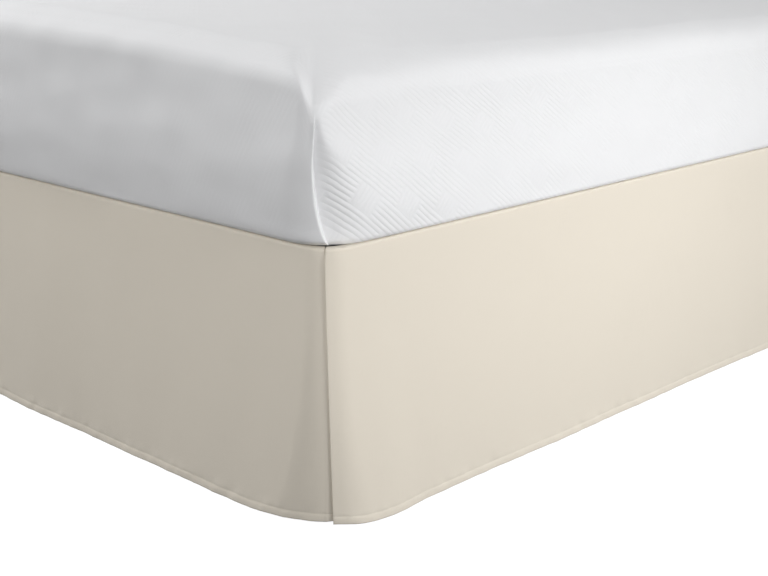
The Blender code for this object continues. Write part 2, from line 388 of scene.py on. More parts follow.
def linked(name, data):
    """A new object with this data, in the scene."""
    new = bpy.data.objects.new(name, data)
    bpy.context.scene.collection.objects.link(new)
    return new


def mesh_piece(name, points, faces, uvs, material):
    """A smooth mesh piece. faces is a list of corner lists, and uvs gives each corner's place."""
    mesh = bpy.data.meshes.new(name)
    mesh.from_pydata(points, [], faces)
    mesh.update()
    mesh.shade_smooth()
    layer = mesh.uv_layers.new(name="cloth")
    layer.uv.foreach_set("vector", np.asarray(uvs, dtype=np.float32).ravel())
    mesh.materials.append(material)
    return linked(name, mesh)


def part_of(piece, slot, *nodes):
    """The piece rides on the bed and stands for these nodes, which it hides. The slot is not used.
    """
    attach(piece, "root")
    if nodes:
        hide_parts(*nodes)
    return piece


# ---- materials


def tone(colour, factor):
    return tuple(channel * factor for channel in colour) + (1.0,)


class Nodes:
    """Short ways to build the nodes of a material or a world."""

    def __init__(self, owner):
        owner.use_nodes = True
        self.owner = owner
        self.tree = owner.node_tree

    def put(self, value, socket):
        """Gives an input its number, or links it to another node's output."""
        if isinstance(value, bpy.types.NodeSocket):
            self.tree.links.new(value, socket)
        else:
            socket.default_value = value

    def fill(self, node, values):
        for name, value in values.items():
            self.put(value, node.inputs[name.replace("_", " ")])
        return node

    def new(self, kind, **values):
        return self.fill(self.tree.nodes.new("ShaderNode" + kind), values)

    def math(self, operation, *values):
        node = self.new("Math")
        node.operation = operation
        for value, socket in zip(values, node.inputs):
            self.put(value, socket)
        return node.outputs[0]

    def times(self, first, second):
        return self.math("MULTIPLY", first, second)

    def plus(self, first, second):
        return self.math("ADD", first, second)

    def cloth_place(self):
        node = self.new("UVMap")
        node.uv_map = "cloth"
        return node.outputs["UV"]

    def mesh_value(self, name):
        node = self.new("Attribute")
        node.attribute_name = name
        return node.outputs["Fac"]

    def place(self, kind):
        return self.new("TexCoord").outputs[kind]

    def scaled(self, place, size=(1.0, 1.0, 1.0), turn=0.0):
        node = self.new("Mapping", Vector=place, Scale=size, Rotation=(0.0, 0.0, turn))
        return node.outputs["Vector"]

    def split(self, place):
        return tuple(self.new("SeparateXYZ", Vector=place).outputs)

    def noise(self, place, scale, detail=3.0, roughness=0.55):
        node = self.new("TexNoise", Vector=place, Scale=scale, Detail=detail, Roughness=roughness)
        return node.outputs["Fac"]

    def spread(self, value, low, high, to_low=0.0, to_high=1.0):
        ends = {"From_Min": low, "From_Max": high, "To_Min": to_low, "To_Max": to_high}
        return self.new("MapRange", Value=value, **ends).outputs["Result"]

    def blend(self, share, first, second):
        node = self.new("Mix")
        node.data_type = "RGBA"
        for value, index in ((share, 0), (first, 6), (second, 7)):
            self.put(value, node.inputs[index])
        return node.outputs[2]

    def toned(self, share, colour, tones):
        """The colour, from the first of its two tones to the second."""
        return self.blend(share, *(tone(colour, factor) for factor in tones))

    def bump(self, height, size, under=None):
        """size is the bump's distance and its strength."""
        distance, strength = size
        node = self.new("Bump", Height=height, Distance=distance, Strength=strength)
        if under is not None:
            self.put(under, node.inputs["Normal"])
        return node.outputs["Normal"]

    def weave(self, place, pitch):
        """A plain weave: each thread goes over one and under the next."""
        across, down, _ = self.split(place)
        turns = pi / pitch
        warp = self.math("SINE", self.times(across, turns))
        weft = self.math("SINE", self.times(down, turns))
        return self.times(warp, weft)

    def ridges(self, share, count):
        """Rounded ridges side by side, this many over one unit."""
        wave = self.math("ABSOLUTE", self.math("SINE", self.times(share, pi * count)))
        return self.math("POWER", wave, RIDGE_ROUNDNESS)

    def faded_ends(self, share, reach):
        """1 along the middle of a unit, fading to 0 over this reach at both its ends."""
        nearest = self.math("MINIMUM", share, self.math("SUBTRACT", 1.0, share))
        return self.spread(nearest, 0.0, reach)

    def finish(self, **looks):
        """Gives the material's shader these looks, and returns the material."""
        self.fill(self.tree.nodes["Principled BSDF"], looks)
        return self.owner


# Sizes of noise are waves to a metre, tones are shares of the colour, and each bump is its
# distance and its strength.
SKIRT_COLOUR = (0.776, 0.714, 0.612)
SKIRT_THREAD = 0.00055
SKIRT_SHEEN = 0.10
DECK_COLOUR = (0.745, 0.715, 0.655)
BOX_COLOUR = (0.640, 0.630, 0.610)
BOX_THREAD = 0.0011
SLUBS = (35.0, 900.0, 1.0)
STREAKS = (900.0, 28.0, 1.0)
CLOUDS = 5.0
HOLLOWS = 26.0
CLOTH_TONES = (0.972, 1.025)
SLUB_HEIGHT = 1.6
THREAD_BUMP = (0.00010, 0.55)
HOLLOW_BUMP = (0.0012, 0.12)
CLOTH_ROUGHNESS = (0.86, 0.95)
CLOTH_LOOKS = {"Specular_IOR_Level": 0.25, "Sheen_Roughness": 0.5}

# The cover's ridges lie in rows, and wander: how wide their waves are, and how far along and
# across they move.
COVER_COLOUR = (0.835, 0.838, 0.848)
# The two tones paint shade into the valleys between the cover's ridges and make their crests a
# little lighter.
COVER_RIDGE_SHADE_TONES = (0.985, 1.005)
COVER_THREAD = 0.0008
COVER_ROUGHNESS = (0.84, 0.95)
COVER_SHEEN = 0.12
RIDGE_TURN = radians(-52)
RIDGE_ROW = 0.032
RIDGES_A_ROW = 5
RIDGE_PERIOD = 0.144
RIDGE_ROUNDNESS = 0.8
RIDGE_WANDER = (9.0, 0.0040, -0.0035)
RIDGE_WOBBLE = (38.0, 0.0026)
LONG_ENDS = 0.06
SHORT_SHARE = 0.24
SHORT_ENDS = 0.20
SHORT_HEIGHT = 0.6
WORN_PATCHES = 7.0
WORN_RANGE = (0.35, 0.65, 0.30, 1.0)
FIBRES = 900.0
FIBRE_BUMP = (0.00012, 0.35)
RIDGE_BUMP = (0.0012, 0.62)
SWELLS = 18.0
SWELL_BUMP = (0.002, 0.15)
TOP_RELIEF = 0.40
FOOT_RELIEF = 0.12

WOOD_LIGHT = (0.235, 0.135, 0.075)
WOOD_DARK = (0.105, 0.056, 0.030)
WOOD_GRAIN = (160.0, 160.0, 7.0)
WOOD_PORES = (900.0, 900.0, 60.0)
WOOD_BUMP = (0.0003, 0.25)
WOOD_ROUGHNESS = (0.38, 0.52)
WOOD_SPECULAR = 0.5
NOISE_RANGE = (0.3, 0.7)


def plain_cloth(name, colour, thread, sheen=0.0):
    """A smooth plain weave with faint slubs and a slight unevenness of tone."""
    nodes = Nodes(bpy.data.materials.new(name))
    place = nodes.cloth_place()
    weave = nodes.weave(place, thread)
    slubs = nodes.noise(nodes.scaled(place, SLUBS), 1.0, 2.0)
    streaks = nodes.noise(nodes.scaled(place, STREAKS), 1.0, 2.0)
    fleck = nodes.plus(slubs, streaks)
    shade = nodes.plus(nodes.times(fleck, 0.5), nodes.times(nodes.noise(place, CLOUDS), 0.5))
    shaded = nodes.toned(nodes.spread(shade, *NOISE_RANGE), colour, CLOTH_TONES)
    normal = nodes.bump(nodes.plus(weave, nodes.times(fleck, SLUB_HEIGHT)), THREAD_BUMP)
    normal = nodes.bump(nodes.noise(place, HOLLOWS, 2.0), HOLLOW_BUMP, normal)
    roughness = nodes.spread(weave, -1.0, 1.0, *CLOTH_ROUGHNESS)
    looks = dict(CLOTH_LOOKS, Sheen_Weight=sheen)
    return nodes.finish(Base_Color=shaded, Roughness=roughness, Normal=normal, **looks)


def woven_cover():
    """A white cover woven in rows of long raised ridges, broken by short blocks square to them."""
    nodes = Nodes(bpy.data.materials.new("mattress_cover"))
    place = nodes.cloth_place()
    wander = nodes.noise(place, RIDGE_WANDER[0], 2.0)
    wobble = nodes.noise(place, RIDGE_WOBBLE[0], 2.0)
    along, across, _ = nodes.split(nodes.scaled(place, turn=RIDGE_TURN))
    along = nodes.math("MULTIPLY_ADD", wander, RIDGE_WANDER[1], along)
    across = nodes.math("MULTIPLY_ADD", wander, RIDGE_WANDER[2], across)
    across = nodes.math("MULTIPLY_ADD", wobble, RIDGE_WOBBLE[1], across)
    across = nodes.math("DIVIDE", across, RIDGE_ROW)
    shift = nodes.times(nodes.math("PINGPONG", nodes.math("FLOOR", across), 1.0), 0.5)
    cell = nodes.math("FRACT", nodes.math("MULTIPLY_ADD", along, 1 / RIDGE_PERIOD, shift))
    down_row = nodes.math("FRACT", across)
    short = nodes.math("LESS_THAN", cell, SHORT_SHARE)
    along_short = nodes.math("DIVIDE", cell, SHORT_SHARE)
    along_long = nodes.math("DIVIDE", nodes.math("SUBTRACT", cell, SHORT_SHARE), 1 - SHORT_SHARE)
    long_ridge = nodes.ridges(down_row, RIDGES_A_ROW)
    long_ridge = nodes.times(long_ridge, nodes.faded_ends(along_long, LONG_ENDS))
    long_ridge = nodes.times(long_ridge, nodes.math("SUBTRACT", 1.0, short))
    short_ridge = nodes.ridges(along_short, RIDGES_A_ROW)
    short_ridge = nodes.times(short_ridge, nodes.faded_ends(down_row, SHORT_ENDS))
    short_ridge = nodes.times(nodes.times(short_ridge, short), SHORT_HEIGHT)
    strength = nodes.spread(nodes.noise(place, WORN_PATCHES, 2.0), *WORN_RANGE)
    strength = nodes.times(strength, nodes.mesh_value("raised"))
    relief = nodes.times(nodes.plus(long_ridge, short_ridge), strength)
    fine = nodes.plus(nodes.weave(place, COVER_THREAD), nodes.noise(place, FIBRES, 2.0))
    normal = nodes.bump(fine, FIBRE_BUMP)
    normal = nodes.bump(relief, RIDGE_BUMP, normal)
    normal = nodes.bump(nodes.noise(place, SWELLS, 2.0), SWELL_BUMP, normal)
    roughness = nodes.spread(fine, -1.0, 2.0, *COVER_ROUGHNESS)
    # Painted shade: the cover's colour is darker in the valleys between its ridges and lighter on
    # their crests, following the relief.
    shaded = nodes.toned(relief, COVER_COLOUR, COVER_RIDGE_SHADE_TONES)
    looks = dict(CLOTH_LOOKS, Sheen_Weight=COVER_SHEEN)
    return nodes.finish(Base_Color=shaded, Roughness=roughness, Normal=normal, **looks)


def leg_wood():
    """Stained beech, with its grain up the leg."""
    nodes = Nodes(bpy.data.materials.new("leg_wood"))
    place = nodes.place("Object")
    grain = nodes.noise(nodes.scaled(place, WOOD_GRAIN), 1.0, 4.0, 0.6)
    pores = nodes.noise(nodes.scaled(place, WOOD_PORES), 1.0, 2.0)
    share = nodes.spread(grain, *NOISE_RANGE)
    colour = nodes.blend(share, tone(WOOD_DARK, 1.0), tone(WOOD_LIGHT, 1.0))
    normal = nodes.bump(nodes.plus(grain, pores), WOOD_BUMP)
    roughness = nodes.spread(pores, *NOISE_RANGE, *WOOD_ROUGHNESS)
    return nodes.finish(
        Base_Color=colour, Roughness=roughness, Normal=normal, Specular_IOR_Level=WOOD_SPECULAR
    )


# ---- drops


def corner_path(shape, along):
    """Points and outward normals of a plan curve that turns a foot corner.

    along runs from the corner's diagonal, above zero on the face that the drop belongs to. p is
    the way along that face from the corner, and q is the way in from the face plane.
    """
    radius = shape["radius"]
    centre_p = radius - shape["other"]
    centre_q = radius - shape["own"]
    half_turn = radius * pi / 4
    turn = pi / 4 - np.clip(along, -half_turn, half_turn) / radius
    p = centre_p - radius * np.sin(turn) + np.maximum(along - half_turn, 0.0)
    q = centre_q - radius * np.cos(turn) + np.maximum(-half_turn - along, 0.0)
    return p, q, -np.sin(turn), -np.cos(turn)


def straight_along(shape, reach):
    """The distance along a plan curve at which it has gone this far from the corner's plane."""
    return reach + shape["other"] - shape["radius"] * (1 - pi / 4)


def shape_at(hang, share):
    """The plan curve at this share of the way down. It opens out mostly near the hem."""
    opening = np.maximum(share, 0.0) ** CORNER_OPENING
    return {key: mix(hang["top"][key], hang["hem"][key], opening) for key in hang["top"]}


def share_down(hang, height):
    return (DECK_TOP - height) / (DECK_TOP - hang["hem_height"])


def column_step(at):
    return FINE_STEP if at < FINE_REACH else COARSE_STEP


def ripple(rows, along, share):
    total = 0.0
    for middle, half_width, depth in rows:
        total = total + depth * bell(along - middle, half_width)
    return total * np.maximum(share, 0.0) ** RIPPLE_GROWTH


class Drop:
    """Where a drop's cloth lies. A column is a way along it from the foot corner's diagonal."""

    def hung(self, shape, share, along, column, out):
        """The way along the face and the way in of cloth that stands out this far."""
        p, q, normal_p, normal_q = corner_path(shape, along)
        out = out + ripple(self.ripples, column, share)
        return p + normal_p * out, q + normal_q * out

    def columns(self):
        return spread_steps(*self.ends, column_step)

    def lapped(self, column):
        """1 where the cloth lies behind a side drop with its top edge cut down, or else 0."""
        return 1.0 - smooth_step(LAP_END, LAP_START, self.from_corner(column))


class SideDrop(Drop):
    """A side drop. side is 1 for +X and -1 for -X."""

    hang = SIDE_HANG
    edge_shows = True

    def __init__(self, side, ripples):
        self.side = side
        self.mirrored = side > 0
        self.ripples = ripples
        self.reach = BED_LENGTH - HEAD_SETBACK
        self.length = straight_along(SIDE_HANG["top"], self.reach)
        self.ends = (0.0, self.length)

    def place(self, column, height, out):
        share = share_down(self.hang, height)
        shape = shape_at(self.hang, share)
        start = mix(self.hang["start_top"], self.hang["start_hem"], share)
        start = start + self.hang["start_cut"] * smooth_step(*START_CUT, DECK_TOP - height)
        along = mix(start, straight_along(shape, self.reach), column / self.length)
        p, q = self.hung(shape, share, along, column, out)
        x = self.side * (HALF_WIDTH - q)
        return together(x, p - HALF_LENGTH, height)

    def lapped(self, column):
        return np.zeros_like(column)

    def from_corner(self, column):
        return column


class FootDrop(Drop):
    """The foot drop, with a lap at both ends. Its columns run from the right corner's diagonal."""

    hang = FOOT_HANG
    edge_shows = False
    mirrored = False
    ripples = FOOT_RIPPLES

    def __init__(self):
        self.half = straight_along(FOOT_HANG["top"], HALF_WIDTH)
        self.full = 2 * self.half
        self.ends = (-LAP, self.full + LAP)

    def place(self, column, height, out):
        share = share_down(self.hang, height)
        shape = shape_at(self.hang, share)
        near = self.from_corner(column)
        stretch = straight_along(shape, HALF_WIDTH) / self.half
        p, q = self.hung(shape, share, np.where(near > 0, near * stretch, near), column, out)
        x = np.where(column <= self.half, 1.0, -1.0) * (HALF_WIDTH - p)
        return together(x, q - HALF_LENGTH, height)

    def columns(self):
        lap_edges = [LAP_END, LAP_START, self.full - LAP_START, self.full - LAP_END]
        return sorted(super().columns() + lap_edges)

    def from_corner(self, column):
        """How far each column is from the nearer foot corner, below zero where it is lapped."""
        return np.minimum(column, self.full - column)


def shoulder_rows():
    """The turn from the seam on the deck to the face: (height below the top, way in) rows."""
    half_in = mix(SHOULDER_RADIUS, SEAM_INSET, 0.5)
    outer = [(0.0, SEAM_INSET), (0.0, half_in)]
    inner = [(CLOTH, SEAM_INSET), (CLOTH, half_in)]
    inside = SHOULDER_RADIUS - CLOTH
    for angle in quarter_turn(SHOULDER_STEPS):
        outer.append((SHOULDER_RADIUS * (1 - cos(angle)), SHOULDER_RADIUS * (1 - sin(angle))))
        inner.append((CLOTH + inside * (1 - cos(angle)), CLOTH + inside * (1 - sin(angle))))
    return outer, inner


def drop_rows(hang):
    """The rows of a drop's section as arrays: height, way out, and which layer (1 is the outer)."""
    hem = hang["hem_height"]
    outer, inner = shoulder_rows()
    first = SHOULDER_RADIUS + ROW_STEP
    last = DECK_TOP - hem - HEM_OUTSIDE[0][0]
    count = round((last - first) / ROW_STEP)
    drops = [mix(first, last, step / count) for step in range(count)]
    outer += [(drop, 0.0) for drop in drops]
    inner += [(drop, CLOTH) for drop in drops]
    outside = [(DECK_TOP - drop, -inward) for drop, inward in outer]
    outside += [(hem + rise, out) for rise, out in HEM_OUTSIDE]
    inside = [(DECK_TOP - drop, -inward) for drop, inward in inner]
    inside += [(hem + rise, out) for rise, out in reversed(HEM_INSIDE)]
    rows = outside + inside[::-1]
    layer = [1.0] * len(outside) + [0.0] * len(inside)
    return np.array(rows), np.array(layer), len(outside)


def drop_wrinkles(drop, seed, column, height):
    """How far the cloth stands out of its smooth hang, and how far its rows are lifted."""
    rise = height - drop.hang["hem_height"]
    share = share_down(drop.hang, height)
    calm = waves(CALM, seed, column, height * CALM_UPRIGHT)
    broad = waves(BROAD, seed + 1, column, height * BROAD_UPRIGHT)
    broad = broad * smooth_step(0.0, BROAD_FROM_SHARE, share)
    pucker = waves(PUCKER, seed + 2, column + PUCKER_SLANT * rise, 0.0, PUCKER_WAVES)
    pucker = pucker * smooth_step(*PUCKER_RISE, rise)
    dimple = waves(DIMPLE, seed + 3, column, 0.0, DIMPLE_WAVES)
    dimple = dimple * bell(rise - STITCH_RISE, DIMPLE_REACH)
    out = (calm + broad + pucker + dimple) * smooth_step(0.0, TAUT_TOP, DECK_TOP - height)
    sway = waves(HEM_SWAY, seed + 4, column, 0.0) * smooth_step(HEM_SWAY_HEIGHT, 0.0, rise)
    near = np.maximum(drop.from_corner(column), 0.0) / drop.hang["corner_reach"]
    raised = drop.hang["corner_rise"] * np.exp(-(near ** drop.hang["corner_power"]))
    return out, sway + raised * smooth_step(CORNER_RISE_HEIGHT, 0.0, rise)


def beside_edge(kind, distance, below_top):
    """How far the cloth stands out at this distance from a side drop's free edge."""
    out, reach, start, end = kind
    return out * bell(distance, reach) * smooth_step(start, end, below_top)


def build_drop(name, drop, seed, material):
    """A drop's cloth as one closed sheet, with its hem, its rolled edges and its wrinkles."""
    rows, layer, outer_count = drop_rows(drop.hang)
    first, last = drop.ends
    half = CLOTH / 2
    angles = quarter_turn(EDGE_COLUMNS, 1)[::-1]
    start = [first + half * (1 - sin(angle)) for angle in angles]
    end = [last - half * (1 - sin(angle)) for angle in reversed(angles)]
    body = [at for at in drop.columns() if first + CLOTH < at < last - CLOTH]
    column = np.array(start + [first + half] + body + [last - half] + end)
    rolled = [1 - cos(angle) for angle in angles]
    pinch = np.array(rolled + [0.0] * (len(body) + 2) + rolled[::-1])[:, None]
    grid = column[:, None]
    height = rows[None, :, 0] + 0.0 * grid
    out = mix(rows[None, :, 1], -half, np.minimum(pinch, EDGE_PINCH))
    lapped = drop.lapped(grid)
    lap_top = DECK_TOP - LAP_TOP_DROP
    high = (height > lap_top - LAP_TOP_REACH) * lapped
    cut = lap_top - LAP_SQUEEZE * (DECK_TOP - height) - LAP_SLANT * (SEAM_INSET + rows[None, :, 1])
    height = mix(height, np.minimum(height, cut), high)
    out = mix(out, np.where(layer[None, :] > 0, 0.0, -CLOTH), high)
    wrinkle, lift = drop_wrinkles(drop, seed, grid, height)
    below_top = DECK_TOP - height
    if drop.edge_shows:
        for kind in (SPLIT_CURL, SPLIT_MEET):
            wrinkle = wrinkle + beside_edge(kind, drop.from_corner(grid), below_top)
    press = LAP_PRESS * smooth_step(*LAP_PRESS_IN, below_top)
    press = press - LAP_CLEAR_TOP * smooth_step(*LAP_CLEAR_TOP_IN, below_top)
    clear = LAP_CLEAR * smooth_step(0.0, LAP_CLEAR_REACH, -drop.from_corner(grid))
    points = drop.place(grid, height + lift, out + wrinkle + press * lapped - clear)
    return sheet_mesh(name, points, column, rows, outer_count, drop.mirrored, material)


def sheet_mesh(name, points, column, rows, outer_count, mirrored, material):
    """The mesh of a closed strip from its grid of points, one column after another."""
    columns, size = points.shape[:2]
    base = np.arange(columns - 1)[:, None] * size
    row = np.arange(size)[None, :]
    following = (row + 1) % size
    here, there = base + row, base + following
    quads = together(here, here + size, there + size, there)
    ends = []
    last = (columns - 1) * size
    steps = outer_count - 1
    inner = [size - 1 - index * (size - outer_count - 1) // steps for index in range(outer_count)]
    for index in range(steps):
        here, there = inner[index], inner[index + 1]
        corners = [index, index + 1, there, here] if here != there else [index, index + 1, here]
        ends.append(corners)
        ends.append([last + corner for corner in reversed(corners)])
    faces = quads.reshape(-1, 4).tolist() + ends
    length = np.concatenate([[0.0], np.cumsum(np.linalg.norm(np.diff(rows, axis=0), axis=1))])
    if mirrored:
        faces = [face[::-1] for face in faces]
    flat = points.reshape(-1, 3)
    place = together(column[:, None], -length[None, :]).reshape(-1, 2)
    uvs = np.concatenate([place[face] for face in faces])
    return mesh_piece(name, flat, faces, uvs, material)


def hem_stitches(name, drop, seed, material):
    """A row of lockstitches along the top of the hem, as one mesh of small spindles."""
    first, last = drop.ends
    count = int((last - first - 2 * STITCH_MARGIN) / STITCH_PITCH)
    rng = np.random.default_rng(seed)
    column = first + STITCH_MARGIN + STITCH_PITCH * np.arange(count)
    column = column + rng.uniform(-STITCH_JITTER, STITCH_JITTER, count)
    height = np.full_like(column, drop.hang["hem_height"] + STITCH_RISE)
    height = height + rng.uniform(-STITCH_SWAY, STITCH_SWAY, count)

    def at(shift, out):
        moved = column + shift
        wrinkle, lift = drop_wrinkles(drop, seed, moved, height)
        return drop.place(moved, height + lift, out + STITCH_OUT + wrinkle)

    half = STITCH_LENGTH / 2
    back, front = at(-half, -STITCH_RADIUS), at(half, -STITCH_RADIUS)
    middle = at(0.0, 0.0)
    outward = at(0.0, 0.001) - middle
    outward = outward / np.linalg.norm(outward, axis=1, keepdims=True)
    way = front - back
    way = way / np.linalg.norm(way, axis=1, keepdims=True)
    across = np.cross(way, outward)
    rings = [back]
    for step in range(STITCH_SIDES):
        angle = 2 * pi * step / STITCH_SIDES
        rings.append(middle + STITCH_RADIUS * (cos(angle) * outward + sin(angle) * across))
    rings.append(front)
    size = len(rings)
    points = np.stack(rings, axis=1).reshape(-1, 3)
    faces = []
    for stitch in range(count):
        start = stitch * size
        for step in range(STITCH_SIDES):
            here = start + 1 + step
            there = start + 1 + (step + 1) % STITCH_SIDES
            faces.append([start, there, here])
            faces.append([start + size - 1, here, there])
    uvs = np.zeros((len(faces) * 3, 2))
    return mesh_piece(name, points, faces, uvs, material)


# ---- mattress


def fold_shift(height):
    """How far the fold lies from the corner's diagonal at this height, below zero to the foot."""
    heights, shifts = zip(*FOLD_LINE)
    curve = np.polyfit(heights, shifts, FOLD_LINE_DEGREE)
    inside = np.clip(height, heights[0], FOLD_TOP)
    return -np.polyval(curve, inside)


def fold_section():
    """The fold's free edge, from the foot face across.

    Each row is (way from the fold, how proud it stands, share of the hollow beside the fold).
    """
    rows = []
    for step in range(FOLD_EDGE_STEPS + 1):
        angle = FOLD_EDGE_TURN * step / FOLD_EDGE_STEPS
        proud = FOLD_PROUD - FOLD_EDGE * (1 - cos(angle))
        rows.append((-FOLD_EDGE + FOLD_EDGE * sin(angle), proud, 0.0))
    for step in range(1, FOLD_UNDER_STEPS + 1):
        share = step / FOLD_UNDER_STEPS
        rows.append((-FOLD_UNDER_FROM - FOLD_UNDER * share, proud * (1 - share), share))
    rows.append((FOLD_UNDER, BESIDE_FOLD, 1.0))
    return rows


def columns_on(start, end, origin, towards):
    """Ways from a corner out to the middle of a face, further apart the further from origin."""
    ways = [start]
    while abs(end - ways[-1]) > COLUMN_LEFT:
        step = COLUMN_STEP + COLUMN_GROWTH * abs(ways[-1] - origin)
        ways.append(ways[-1] + towards * min(step, COLUMN_MOST))
    return ways[:-1] + [end]


def mattress_columns():
    """Columns of one corner's quarter, from the foot's middle to the side's middle.

    Each is (way from the corner's diagonal, how proud, share of the hollow, way where the cover
    isn't folded), and the second result is the first column that takes the side's cloth.
    """
    turned = MATTRESS_TURN * (1 - pi / 4)
    section = fold_section()
    to_foot = columns_on(-FOLD_EDGE, turned - HALF_WIDTH, -FOLD_EDGE, -1)[1:]
    to_side = columns_on(section[-1][0], HALF_LENGTH - turned, 0.0, 1)[1:]
    columns = []
    for way in reversed(to_foot):
        columns.append((way, FOLD_PROUD * bell(way, FOLD_LAYER_REACH), 0.0, way))
    unfolded = np.linspace(section[0][0], section[-1][0], len(section))
    columns += [(*row, flat) for row, flat in zip(section, unfolded)]
    columns += [(way, BESIDE_FOLD, 1.0, way) for way in to_side]
    fold = len(to_foot) + len(section) - 3
    return np.array(columns), fold


def mattress_rows():
    """The mattress's section from its bottom's middle to its top's middle.

    Each row is (outset of the ring from the bed's face planes, height, outward part and upward
    part of its normal). The bottom edge rolls in just over the drops' shoulder.
    """
    rows = [(outset, MATTRESS_BOTTOM, 0.0, -1.0) for outset in BOTTOM_SETS]
    centre = MATTRESS_BOTTOM + MATTRESS_LIP
    for angle in quarter_turn(LIP_STEPS):
        outset = MATTRESS_LIP_SET + MATTRESS_LIP * sin(angle)
        rows.append((outset, centre - MATTRESS_LIP * cos(angle), sin(angle), -cos(angle)))
    start = rows[-1][0]
    for step in range(1, WALL_STEPS + 1):
        height = mix(centre, SIDE_TOP, step / WALL_STEPS)
        drawn = SIDE_DRAW_IN * smooth_step(*SIDE_DRAW_RISE, height)
        rows.append((start - drawn, height, 1.0, 0.0))
    widest = rows[-1][0]
    for angle in quarter_turn(EDGE_STEPS, 1):
        outset = mix(EDGE_TOP_SET, widest, cos(angle))
        rows.append((outset, SIDE_TOP + EDGE_UP * sin(angle), cos(angle), sin(angle)))
    edge_row = len(rows) - 1
    for step in range(1, TOP_STEPS + 1):
        inset = mix(-EDGE_TOP_SET, HALF_WIDTH - TOP_OPENING, (step / TOP_STEPS) ** TOP_SPREAD)
        rise = CROWN * sin((pi / 2) * min(inset / CROWN_REACH, 1.0))
        rows.append((-inset, EDGE_TOP + rise, 0.0, 1.0))
    rows = np.array(rows)
    steps_down = np.linalg.norm(np.diff(rows[:, :2], axis=0), axis=1)
    from_bottom = np.concatenate([[0.0], np.cumsum(steps_down)])
    down = from_bottom[edge_row] - from_bottom
    return rows, edge_row, down


def foot_bulge(height, along):
    """How much further than the sides the foot's face and its corners stand out."""
    left = 1 - np.clip((height - MATTRESS_BOTTOM) / FOOT_BULGE_REACH, 0.0, 1.0)
    drawn = FOOT_BULGE_SHARE * left**FOOT_BULGE_POWER
    drawn = drawn + (1 - FOOT_BULGE_SHARE) * left**FOOT_BULGE_LOW_POWER
    fading = smooth_step(EDGE_TOP, SIDE_TOP - FOOT_BULGE_FADE, height)
    return FOOT_BULGE * (1 - drawn) * fading * smooth_step(FOOT_LEAN_END, 0.0, along)


def rolled_edge(outset, height, along):
    """The outset and height moved so that the top edge's roll is tight along the foot.

    Along the sides and round the corners the roll is broad.
    """
    on_foot = smooth_step(0.0, -ROLL_TURN, along)
    roll = mix(SIDE_ROLL, FOOT_ROLL, on_foot)
    roll_in = mix(SIDE_ROLL_IN, FOOT_ROLL_IN, on_foot)
    below = mix(ROLL_FROM, EDGE_TOP - roll, (height - ROLL_FROM) / (SIDE_TOP - ROLL_FROM))
    within = EDGE_TOP - (EDGE_TOP - height) * roll / EDGE_UP
    moved = np.where(height < SIDE_TOP, np.where(height > ROLL_FROM, below, height), within)
    moved = np.where(height > EDGE_TOP, height, moved)
    inset = np.clip(outset / EDGE_TOP_SET, 0.0, 1.0) * (height > SIDE_TOP)
    inner = smooth_step(ROLL_IN_REACH, -EDGE_TOP_SET, -outset)
    return outset - (roll_in + EDGE_TOP_SET) * inset * inner, moved


def above_drops(reach, least, height):
    """A share that grows from its least on the drops to 1 this far above them."""
    return mix(least, 1.0, smooth_step(0.0, reach, height - MATTRESS_BOTTOM))


def corner_radius(height, outset):
    """The plan radius of the mattress's corners, wider a little above the drops than elsewhere."""
    wider = bell(height - CORNER_LOW_AT, CORNER_LOW_REACH)
    radius = mix(CORNER_RADIUS, CORNER_LOW_RADIUS, wider)
    radius = mix(radius, CORNER_ROLL_RADIUS, smooth_step(*CORNER_ROLL_IN, height))
    radius = mix(CORNER_CONTACT_RADIUS, radius, above_drops(CORNER_CONTACT_REACH, 0.0, height))
    return np.maximum(radius + CORNER_INSET_SHARE * np.minimum(outset, 0.0), CORNER_LEAST_RADIUS)


def raised_weave(way, height, down):
    """How far the cover's weave stands out, from 0 to 1."""
    on_side = smooth_step(*WEAVE_SIDE_IN, way) * smooth_step(*WEAVE_SIDE_OUT, way)
    on_side = on_side * smooth_step(*WEAVE_SIDE_TOP, height)
    on_foot = smooth_step(*WEAVE_FOOT_IN, way) * smooth_step(*WEAVE_FOOT_TOP, height)
    seam = bell(way, SEAM_REACH) * smooth_step(*SEAM_RISE, height)
    seam = seam * smooth_step(0.0, SEAM_REACH, down)
    return mix(mix(TOP_RELIEF, FOOT_RELIEF, on_foot), 1.0, on_side) * (1 - SEAM_FLATNESS * seam)


def fold_relief(columns, way, height, folded):
    """How far the fold stands out, and the hollow beside it falls back, from the smooth face."""
    raised = smooth_step(FOLD_TOP + FOLD_PROUD_ABOVE, FOLD_TOP - FOLD_PROUD_FADE, height)
    at_lip = np.maximum(raised, FOLD_LIP_SHARE * folded)
    raised = mix(raised, at_lip, bell(way, FOLD_LIP_REACH))
    raised = raised * above_drops(FOLD_LOW_REACH, FOLD_LOW_SHARE, height)
    deep = smooth_step(FOLD_TOP, HOLLOW_LOW, height)
    reach = mix(HOLLOW_REACH_TOP, HOLLOW_REACH, deep)
    away = 0.5 + 0.5 * np.cos(pi * np.clip(way / reach, 0.0, 1.0))
    hollow = mix(HOLLOW_TOP_DEPTH, HOLLOW_DEPTH, deep)
    hollow = hollow * above_drops(HOLLOW_LOW_REACH, HOLLOW_LOW_SHARE, height)
    return columns[None, :, 1] * raised - columns[None, :, 2] * folded * hollow * away


